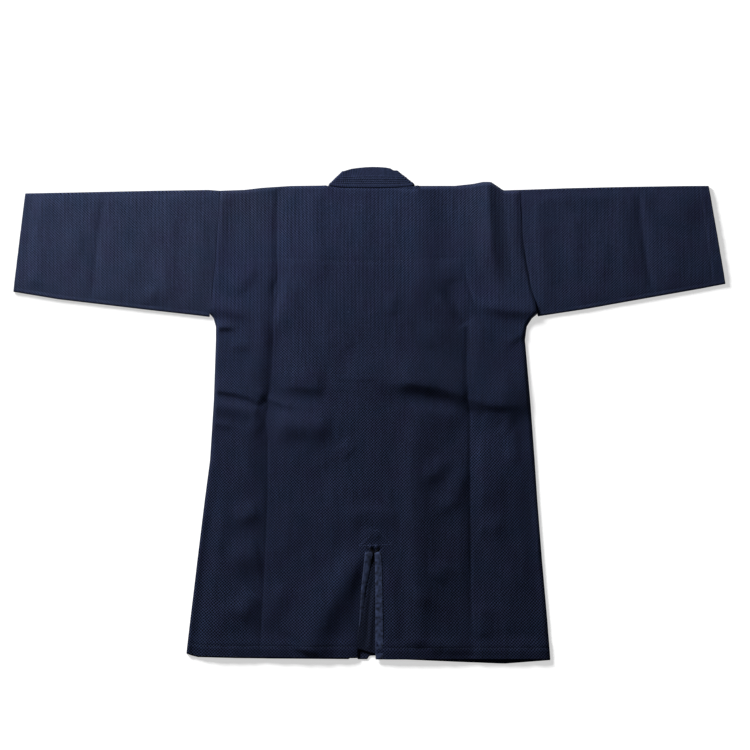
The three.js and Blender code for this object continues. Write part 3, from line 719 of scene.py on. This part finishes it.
frontFolds = [
    ([(-190, 60), (-196, 240)], 1.3, 16, 20),
    ([(-230, 420), (-140, 440)], 1.4, 16, 16),
    ([(-150, 560), (-170, 780)], 1.3, 20, 20, 0.3, 0),
    ([(130, 120), (140, 330)], 1.3, 20, 18),
    ([(120, 400), (240, 380)], 1.5, 14, 18),
    ([(190, 520), (200, 780)], 1.4, 20, 24, 0.3, 0),
    ([(60, 560), (40, 780)], 1.2, 20, 20, 0.3, 0),
]


def seamAcross(side, down):
    # where the front meets its collar band
    return -side * readColumn(frontSeam, "down", "past", down)


def frontRaise(row, side):
    # the right front lies over the left one below the crossing
    return fronts["layer"] * smoothStep(*fronts["crossing"], row) if side > 0 else 0 * row


def frontHeight(across, down, seed):
    # folds and unevenness of a front, never below the table
    lift = foldHeights(frontFolds, across, down) + 0.25 + 0.2 * waves(across, down, seed, 20, 120, 40)
    return softFloor(lift, 0.3)


def frontSheet(side):
    # rows down the body, columns from its side to the neckline. The face that is worn outside lies
    # towards the table, the wall goes up from it.
    shares = ladder([(0, 0.022), (0.62, 0.006), (0.8, 0.02), (1, 1)])
    rows = bodyRows[:, None]
    outer = bodyEdge(side, rows)
    inner = seamAcross(side, rows) + side * 0.15
    across = mix(outer, inner, shares[None, :])
    down = shapedDown(across, rows, frontHems[side])
    stepStart = np.maximum(seamAcross(-1, rows) + fronts["bandWidth"] + 2, inner + 14)
    onTop = 1 - smoothStep(stepStart, stepStart + 14, across)
    atSide = smoothStep(0, 20, np.abs(across - outer))
    height = frontRaise(rows, side) * onTop + frontHeight(across, down, 31 + side) * atSide
    underFolds = foldHeights(bodyFolds, across, down).clip(0)
    height = np.minimum(height, cloth["frontsBelow"] - cloth["wall"] + underFolds)
    fromVent = np.abs(across - fronts["ventMiddle"])
    if side > 0:
        window = (1 - smoothStep(14, 40, fromVent)) * smoothStep(600, 650, down)
        height = height + window * (fronts["ventRise"] + foldHeights(ventFolds, across, down))
    # painted shade: the right front is darker where it shows in the vent, under the back's flaps
    inVent = (1 - smoothStep(20, 60, fromVent)) * smoothStep(560, 620, down)
    wear = 1 - fronts["ventPaintedShade"] * inVent * (side > 0)
    return sheetGrid(across, down, height, wear=wear, flip=side < 0)


frontLeft, frontRight = (layCloth(f"front_{sideName(side)}_cloth", [frontSheet(side)]) for side in (-1, 1))
print("fronts laid out")


sleeveCuts = {   # its edges from the armhole, at 0, to the cuff, at 1; the hem's depth at top and bottom
    # the left sleeve, nearer the window, is greyed more by painted sheen than the right
    -1: {"cuffTop": (-589, 6), "cuffBottom": (-609.5, 173.4), "hem": (12.5, 17.0), "folds": leftSleeveFolds,
         "along": [0, 0.06, 0.34, 0.77, 1], "upper": [1.5, 0, 1.5, 4.5, 6],
         "lower": [216, 213.5, 203, 186, 173.4],
         "look": {"wear": 0.93, "grey": 0.5, "leanLeft": 0.42, "leanRight": 0.18, "uprightRows": 0.6}},
    1: {"cuffTop": (570.4, -6.8), "cuffBottom": (599, 160), "hem": (15.5, 20.0), "folds": rightSleeveFolds,
        "along": [0, 0.25, 0.55, 0.87, 1], "upper": [0, -2.8, -5, -6.6, -6.8],
        "lower": [215, 203, 186, 168, 160],
        "look": {"wear": 0.94, "grey": 0.2, "leanLeft": 0.2, "leanRight": 0.5, "uprightRows": 0.6}},
}
sleeveRadius = 3.0   # of the two folded edges


def cuffAcross(cut, down):
    # the straight line of the cuff, and the share of the way down it
    share = (down - cut["cuffTop"][1]) / (cut["cuffBottom"][1] - cut["cuffTop"][1])
    return mix(cut["cuffTop"][0], cut["cuffBottom"][0], share), share


def sleeveAcross(side, cut, along, down):
    # straight from the armhole's seam to the cuff
    return mix(armholeAcross(side, down) + side * 0.15, cuffAcross(cut, down)[0], along)


def cuffAway(side, cut, across, down):
    # distance from the cuff's edge, and how far in its stitches run there
    cuff, share = cuffAcross(cut, down)
    return side * (cuff - across), mix(cut["hem"][0], cut["hem"][1], np.clip(share, 0, 1))


def sleeveFace(side, cut, across, down, upperEdge, lowerEdge):
    # height of the sleeve's upper side: folds, seam, the raised rim of the lower seam, and the cuff's hem
    away = np.minimum(down - upperEdge, lowerEdge - down)
    height = 2 * sleeveRadius + clothLift(cut["folds"], across, down, 7 + side) * smoothStep(-4, 24, away)
    height = height + seamRelief(side, side * across - np.abs(armholeAcross(side, down)), down, 6, 0.25)
    rim = lowerEdge + sleeveRadius - down
    uneven = 0.7 + 0.3 * waves(across, 0, 19, 9, 90, 20)
    height = height + uneven * (0.5 * bell(rim - 3.4, 2.4) - 0.35 * bell(rim - 7.5, 2))
    fromCuff, hem = cuffAway(side, cut, across, down)
    step = 0.4 * (1 - smoothStep(-2.5, 2.5, fromCuff - hem)) - 0.4 * bell(fromCuff - hem, 2.0)
    return height + step + 0.35 * waves(down, 0, 17, 8, 30, 10) * (1 - smoothStep(0, 16, fromCuff))


def sleeve(side):
    # a ring round the flattened tube: upper side, half round, lower side, half round
    cut = sleeveCuts[side]
    alongs = ladder([(0, 0.0035), (0.03, 0.0105), (0.93, 0.005), (1, 1)])[:, None]
    upperEdge = np.interp(alongs, cut["along"], cut["upper"]) + sleeveRadius
    lowerEdge = np.interp(alongs, cut["along"], cut["lower"]) - sleeveRadius
    girth = lowerEdge - upperEdge
    faceShares = ladder([(0, 0.008), (0.06, 0.02), (0.92, 0.006), (1, 1)])[None, :]
    turn = ladder([(0, 0.125), (1, 1)])[None, 1:-1]
    underShares = ladder([(0, 0.03), (1, 1)])[None, :]

    faceDown = mix(upperEdge, lowerEdge, faceShares)
    face = sleeveFace(side, cut, sleeveAcross(side, cut, alongs, faceDown), faceDown, upperEdge, lowerEdge)
    underDown = mix(lowerEdge, upperEdge, underShares)
    underAcross = sleeveAcross(side, cut, alongs, underDown)
    under = softFloor(0.35 + 0.35 * waves(underAcross, underDown, 41 + side, 20, 110, 36), 0.3)
    under = under * smoothStep(0, 20, np.minimum(underDown - upperEdge, lowerEdge - underDown))

    def half(edge, outwards, startHeight, endHeight):
        # half an ellipse from the upper side to the lower one
        angle = math.pi * (0.5 - turn)
        height = mix(endHeight, startHeight, (np.sin(angle) + 1) / 2)
        return edge + outwards * sleeveRadius * np.cos(angle), height

    lowDown, lowHeight = half(lowerEdge, 1, face[:, -1:], under[:, :1])
    highDown, highHeight = half(upperEdge, -1, face[:, :1], under[:, -1:])
    down = np.concatenate([faceDown, lowDown, underDown, highDown[:, ::-1], faceDown[:, :1]], 1)
    height = np.concatenate([face, lowHeight, under, highHeight[:, ::-1], face[:, :1]], 1)
    roundEdge = 8   # cloth in one half round
    around = upperEdge + np.concatenate([
        faceShares * girth, girth + roundEdge * turn, girth + roundEdge + underShares * girth,
        2 * girth + roundEdge + roundEdge * turn, 2 * girth + 2 * roundEdge], 1)
    across = sleeveAcross(side, cut, alongs, down)
    grid = sheetGrid(across, down, height, cloth=weaveCount(across, np.minimum(around, 880)),
                     flip=side > 0, **cut["look"])
    return layCloth(f"sleeve_{sideName(side)}_cloth", [grid], seams=True)


sleeveLeft, sleeveRight = sleeve(-1), sleeve(1)
print("sleeves laid out")


neckBand = {   # at nine stations round the neck
    "seamAcross": [-72.2, -58, -42, -22, -1, 20, 38, 54, 68.4],
    "seamDown": [-6.5, -4.3, -3.5, -3.2, -2.9, -3.2, -3.5, -4.6, -6.2],
    "freeAcross": [-46.3, -36, -24.6, -12, -1, 12, 22, 30.2, 35.6],
    "freeDown": [-32.4, -35.6, -37.4, -38.6, -39.1, -38.8, -37.9, -36.4, -33.0],
}

collar = {
    "thickness": 2.4,
    "wall": 1.8,
    "underHeight": 4.2,  # of the layer under it at the neck
    "sag": 2.4,  # of its free edge
    "stitchedShare": 0.56,  # the part of its width that is stitched through
    "rows": (0.17, 0.27, 0.36, 0.49),  # where the rows of stitches run
    "look": {"wear": 0.88, "grey": 0.15, "leanLeft": 0.42, "leanRight": 0.15, "uprightRows": 0.0},
}


def neckPlace(station, share):
    # across and down of the band, straight from its seam to its free edge at each station
    seamX, seamY, freeX, freeY = (np.interp(station, range(9), column) for column in neckBand.values())
    return mix(seamX, freeX, share), mix(seamY, freeY, share)


def bandRim(share):
    # drop of the band's two long edges, a quarter round over 6 % of its width
    away = np.minimum(np.maximum(share, 0), 1 - share)
    return quarterRound(np.clip(1 - away / 0.06, 0, 1))


def neckHeight(share, station):
    # the lower half of the band is stitched through in rows and lies a little higher
    freeAcross = np.interp(station, range(9), neckBand["freeAcross"])
    sag = collar["sag"] * (1 - smoothStep(12, 40, np.abs(freeAcross + 5)))
    base = collar["underHeight"] + collar["thickness"] - sag * share ** 2
    stitched = 0.9 * (1 - smoothStep(-0.03, 0.03, share - collar["stitchedShare"]))
    furrows = sum(0.9 * bell(share - at, 0.03) for at in collar["rows"])
    return base + stitched - 1.5 * bandRim(share) - furrows - 12 * np.clip(-share, 0, 1)


def collarRibbon():
    # up the left front from its end, folded over, round the neck, folded over, down the right front.
    # Shares run from the seam, 0, to the free edge, 1; below 0 the band is tucked under the back.
    shares = ladder([(-0.12, 0.04), (0, 0.012), (0.06, 0.012), (0.62, 0.022), (0.94, 0.012), (1, 1)])[None]
    tucked = np.clip(-shares, 0, 1)

    def run(side):
        # down the front the outer face lies on the table
        rows = ladder([(2, 5), (fronts["bandEnd"], 5)])[:, None]
        across = seamAcross(side, rows) - side * 0.15
        down = shapedDown(across, rows, frontHems[side])
        height = frontRaise(rows, side) + 0.15 + 0.4 * bandRim(shares) + 10 * tucked
        return across - side * fronts["bandWidth"] * shares, down + 0 * shares, height

    def fold(side):
        # half an ellipse from the neck's height to the table's, at one end of the neck
        station = 0 if side < 0 else 8
        seam, free = (np.array(neckPlace(station, share)) for share in (0, 1))
        away = np.array([-side * (free - seam)[1], side * (free - seam)[0]]) / np.hypot(*(free - seam))
        angle = np.linspace(math.pi / 2, -math.pi / 2, 15)[:, None]
        top, low = neckHeight(shares, station), 0.15 + 16 * tucked
        middle, radius = (top + low) / 2, (top - low) / 2
        reach = radius * np.cos(angle) * (1 - 0.85 * smoothStep(0.86, 1, shares))
        reach = reach * (1.0 if side < 0 else 1.3)
        across, down = neckPlace(station, shares)
        return across + away[0] * reach, down + away[1] * reach, middle + radius * np.sin(angle)

    stations = ladder([(0, 0.1), (8, 1)])[1:-1, None]
    parts = [[array[::-1] for array in part] for part in (run(-1), fold(-1))]
    parts += [[*neckPlace(stations, shares), neckHeight(shares, stations)], fold(1), run(1)]
    across, down, height = (np.concatenate(arrays) for arrays in zip(*parts))
    centre = np.stack([across[:, 10], down[:, 10]], -1)
    travelled = np.concatenate([[0], np.cumsum(np.hypot(*np.diff(centre, axis=0).T))])[:, None]
    # cut along the grain, so the threads slant across the band
    count = np.stack([travelled / 3.6 + shares * 8, travelled / 3.6 - shares * 8], -1)
    return sheetGrid(across, down, height, cloth=count, **collar["look"])


collarBand = layCloth("collar_cloth", [collarRibbon()], collar["wall"])
print("collar laid out")


tape = {
    "wall": 0.6, "dome": 0.9, "swell": 0.25, "above": 0.2, "uneven": 0.22,
    "tuckedTop": 2.4, "turnedFoot": 1.4,   # how far its two ends go down
}


def ventBinding(side):
    # a tape folded round the edge of the vent: from its outer edge to the vent, then round and under
    rows = ladder([(612, 1.2), (620, 2.4), (797, 1)])[:, None]
    shares = np.array([0, 0.02, 0.06, 0.14, 0.3, 0.5, 0.7, 0.85, 0.94, 1.0])[None, :]
    across = mix(ventLine(side, "Tape", rows), ventLine(side, "Edge", rows), shares)
    down = shapedDown(across, rows, backHem)
    dome = tape["dome"] * (1 - quarterRound(1 - np.minimum(shares / 0.14, 1)))
    height = backTop(across, down, seams=False) - ventRoll(side, across, rows) + tape["above"] + dome
    height = height + tape["swell"] * np.sin(np.pi * shares)
    height = height + tape["uneven"] * waves(down, 0.3 * across, 51 + side, 8, 30, 9)
    height = height - tape["tuckedTop"] * (1 - smoothStep(611, 619, rows))
    if side < 0:
        height = height - tape["turnedFoot"] * smoothStep(725, 765, rows)   # the flap turns over here
    angle = np.array([0.3, 0.7, 1.1, 1.5])[None, :]
    edge, edgeHeight = across[:, -1:], height[:, -1:]
    turned = edge - side * 0.7 * np.sin(angle)
    under = np.repeat(edge - side * 0.7, 2, 1)
    turnedHeight, underHeight = edgeHeight - 0.9 * (1 - np.cos(angle)), edgeHeight - np.array([1.7, 2.5])
    across = np.concatenate([across, turned, under], 1)
    height = np.concatenate([height, turnedHeight, underHeight], 1)
    down = np.concatenate([down, np.repeat(down[:, -1:], 6, 1)], 1)
    grid = {"points": toRow(across, down, height), "cloth": np.stack([across, down], -1), "flip": side > 0}
    return thicken(gridMesh(f"vent_binding_{sideName(side)}_tape", [grid], bindingCotton), tape["wall"])


bindingLeft, bindingRight = ventBinding(-1), ventBinding(1)
print("bindings laid out")


stitches = {   # without a pitch there is one stitch, and its length is a share of its path
    "hem_stitches": dict(pitch=4.6, length=3.0, width=0.8, thickness=0.6, thread=threadCotton),
    "yoke_stitches": dict(pitch=7.5, length=2.6, width=0.9, thickness=0.7, thread=threadCotton),
    "cuff_stitches": dict(pitch=4.6, length=3.0, width=0.8, thickness=0.6, thread=threadCotton),
    "collar_stitches": dict(pitch=4.2, length=2.8, width=0.7, thickness=0.5, thread=threadCotton),
    "binding_stitches": dict(pitch=4.4, length=2.6, width=0.7, thickness=0.5, thread=threadCotton),
    "vent_reinforcement": dict(pitch=4.0, length=2.7, width=0.8, thickness=0.6, thread=paleThread),
    "vent_tacks": dict(pitch=None, length=0.96, width=2.0, thickness=1.4, thread=darkThread),
}


def stitchRun(name, path, heightAt=backTop):
    # the two ends of the stitches along a path, at equal steps, on the face whose height is given
    pitch, length = stitches[name]["pitch"], stitches[name]["length"]
    path = np.array(path, float)
    lengths = np.concatenate([[0], np.cumsum(np.hypot(*np.diff(path, axis=0).T))])
    middles = np.arange(pitch / 2, lengths[-1], pitch) if pitch else lengths[-1:] / 2
    if not pitch:
        length = length * lengths[-1]
    ends = []
    for shift in (-length / 2, length / 2):
        across, down = (np.interp(middles + shift, lengths, path[:, i]) for i in (0, 1))
        ends.append(np.stack([across, down, heightAt(across, down)], -1))
    return np.concatenate(ends, -1)


def sew(name, runs):
    # each stitch is a low loop of thread: four rings of six points, pinched and sunk at its ends
    width, thickness = stitches[name]["width"], stitches[name]["thickness"]
    ends = np.concatenate(runs)
    start, reach = ends[:, :3], ends[:, 3:] - ends[:, :3]
    sideways = np.stack([-reach[:, 1], reach[:, 0], 0 * reach[:, 0]], -1)
    sideways /= np.linalg.norm(sideways, axis=1)[:, None]
    alongs = np.array([0, 0.22, 0.78, 1])[:, None]
    swell = np.array([0.35, 1, 1, 0.35])[:, None]
    sink = np.array([-0.9, 0, 0, -0.9])[:, None] * thickness
    angles = np.arange(6) * math.tau / 6
    wide = np.cos(angles) * width / 2 * swell
    high = (np.sin(angles) * thickness / 2 + thickness * 0.3) * swell + sink
    points = (start[:, None, None] + reach[:, None, None] * alongs[..., None]
              + sideways[:, None, None] * wide[..., None] + np.array([0, 0, 1.0]) * high[..., None])
    number = np.arange(24).reshape(4, 6)
    after = np.roll(number, -1, 1)
    quads = np.stack([number[:-1], after[:-1], after[1:], number[1:]], -1).reshape(-1, 4)
    offsets = np.arange(len(ends))[:, None] * number.size
    faces = (quads + offsets[..., None]).reshape(-1, 4).tolist()
    faces += (number[0, ::-1] + offsets).tolist() + (number[3] + offsets).tolist()
    mesh = bpy.data.meshes.new(name)
    mesh.from_pydata(toRow(*points.reshape(-1, 3).T).tolist(), [], faces)
    editMesh(mesh, lambda work: bmesh.ops.recalc_face_normals(work, faces=work.faces))
    return addPiece(name, mesh, stitches[name]["thread"])


hemAcross = np.linspace(-312, 299, 80)
hemRun = stitchRun("hem_stitches", np.stack([hemAcross, hemLine(hemAcross)], -1))
besideVent = (hemRun[:, 0] < -31) | (hemRun[:, 0] > 21)
hemStitches = sew("hem_stitches", [hemRun[besideVent]])

yokePath = np.stack([yokeRow["across"], yokeRow["down"]], -1)
yokeStitches = sew("yoke_stitches", [stitchRun("yoke_stitches", yokePath)])


def cuffRun(side):
    # along the cuff, as far in as its hem is deep
    cut = sleeveCuts[side]
    top, bottom = np.array(cut["cuffTop"], float), np.array(cut["cuffBottom"], float)
    path = [top + (bottom - top) * 0.04 - [side * cut["hem"][0], 0],
            bottom - (bottom - top) * 0.03 - [side * cut["hem"][1], 0]]
    upperEdge, lowerEdge = top[1] + sleeveRadius, bottom[1] - sleeveRadius
    return stitchRun("cuff_stitches", path, lambda a, d: sleeveFace(side, cut, a, d, upperEdge, lowerEdge))


def collarRun(share):
    # one row round the neck, at a share of the band's width
    stations = np.linspace(0.35, 7.65, 60)
    path = np.stack(neckPlace(stations, share), -1)
    return stitchRun("collar_stitches", path,
                     lambda a, d: neckHeight(share, np.interp(a, path[:, 0], stations)) + 0.1)


def bindingRun(side):
    # along the tape's outer edge, 1.6 mm in from it
    rows = np.linspace(612, 776, 40)
    across = ventLine(side, "Tape", rows) - side * 1.6
    path = np.stack([across, shapedDown(across, rows, backHem)], -1)
    return stitchRun("binding_stitches", path,
                     lambda a, d: backTop(a, d, seams=False) - ventRoll(side, a, d) + 1.15)


cuffStitches = sew("cuff_stitches", [cuffRun(-1), cuffRun(1)])
collarStitches = sew("collar_stitches", [collarRun(share) for share in collar["rows"]])
bindingStitches = sew("binding_stitches", [bindingRun(-1), bindingRun(1)])

triangle = [(-23, 604.5), (7.6, 576.3), (33, 602), (-23, 604.5)]
reinforcement = sew("vent_reinforcement", [stitchRun("vent_reinforcement", triangle)])

tackEnds = [(-7.4, 605.6), (1.0, 609.6), (12.4, 606.8)]   # three long stitches hold the top of the vent
tacks = [stitchRun("vent_tacks", [(2.4, 617.5), end], lambda a, d: backTop(a, d) + 0.9) for end in tackEnds]
ventTacks = sew("vent_tacks", tacks)
print("stitches sewn")


standsFor = {
    "back": back, "front_left": frontLeft, "front_right": frontRight,
    "sleeve_left": sleeveLeft, "sleeve_right": sleeveRight, "collar": collarBand,
    "vent_binding_left": bindingLeft, "vent_binding_right": bindingRight,
}
for node, piece in standsFor.items():
    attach(piece, "root")
    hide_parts(node)
for piece in (hemStitches, yokeStitches, cuffStitches, collarStitches, bindingStitches,
              reinforcement, ventTacks):
    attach(piece, "root")

studio = {   # the light through the window, and the white table under the jacket
    "window": (-1.4, 1.65, 1.08), "windowSize": 0.95, "windowPower": 170,
    "whiteness": 0.033, "glow": 0.57, "roomLight": 0.07,
}


def makeFloor():
    # A smooth white sheet of paper, matt: so brightly lit that only the nearest shadow shows on it. It
    # is greyer towards the window, where the light is stronger, so that all of it comes out white.
    bpy.ops.mesh.primitive_plane_add(size=14, location=(0, 0, -0.0002))
    floor = bpy.context.object
    floor.name = "white_table"
    material, add, surface = newMaterial("white_paper")
    place = add("TexCoord").outputs["Object"]
    away = add("VectorMath DISTANCE", {1: studio["window"]}, {0: place})
    cubed = add("Math POWER", {1: 3.0}, {0: away.outputs["Value"]})
    tone = add("Math MULTIPLY", {1: studio["whiteness"], "use_clamp": True}, {0: cubed})
    setNode(surface, {"Roughness": 1.0, "Specular IOR Level": 0.0, "Emission Color": (1, 1, 1, 1),
                      "Emission Strength": studio["glow"]}, {"Base Color": tone})
    floor.data.materials.append(material)


def makeLight(name, place, target, size, power):
    # a round lamp that looks at its target
    light = bpy.data.lights.new(name, "AREA")
    light.shape = "DISK"
    light.size = size
    light.energy = power
    holder = bpy.data.objects.new(name, light)
    bpy.context.collection.objects.link(holder)
    holder.location = place
    holder.rotation_euler = (Vector(target) - Vector(place)).to_track_quat("-Z", "Y").to_euler()


makeFloor()
makeLight("window_side", studio["window"], (-0.05, 0.05, 0), studio["windowSize"], studio["windowPower"])
world = bpy.context.scene.world or bpy.data.worlds.new("studio")
bpy.context.scene.world = world
world.use_nodes = True
setNode(world.node_tree.nodes["Background"], {"Color": (1, 1, 1, 1), "Strength": studio["roomLight"]})

lens = bpy.data.cameras.new("overhead")
lens.sensor_width = 36
lens.lens = 84.7
camera = bpy.data.objects.new("overhead", lens)
bpy.context.collection.objects.link(camera)
camera.location = (0.0095, 0.0681, 3.0)
bpy.context.scene.camera = camera
bpy.context.scene.view_settings.view_transform = "Standard"

print("scene ready")
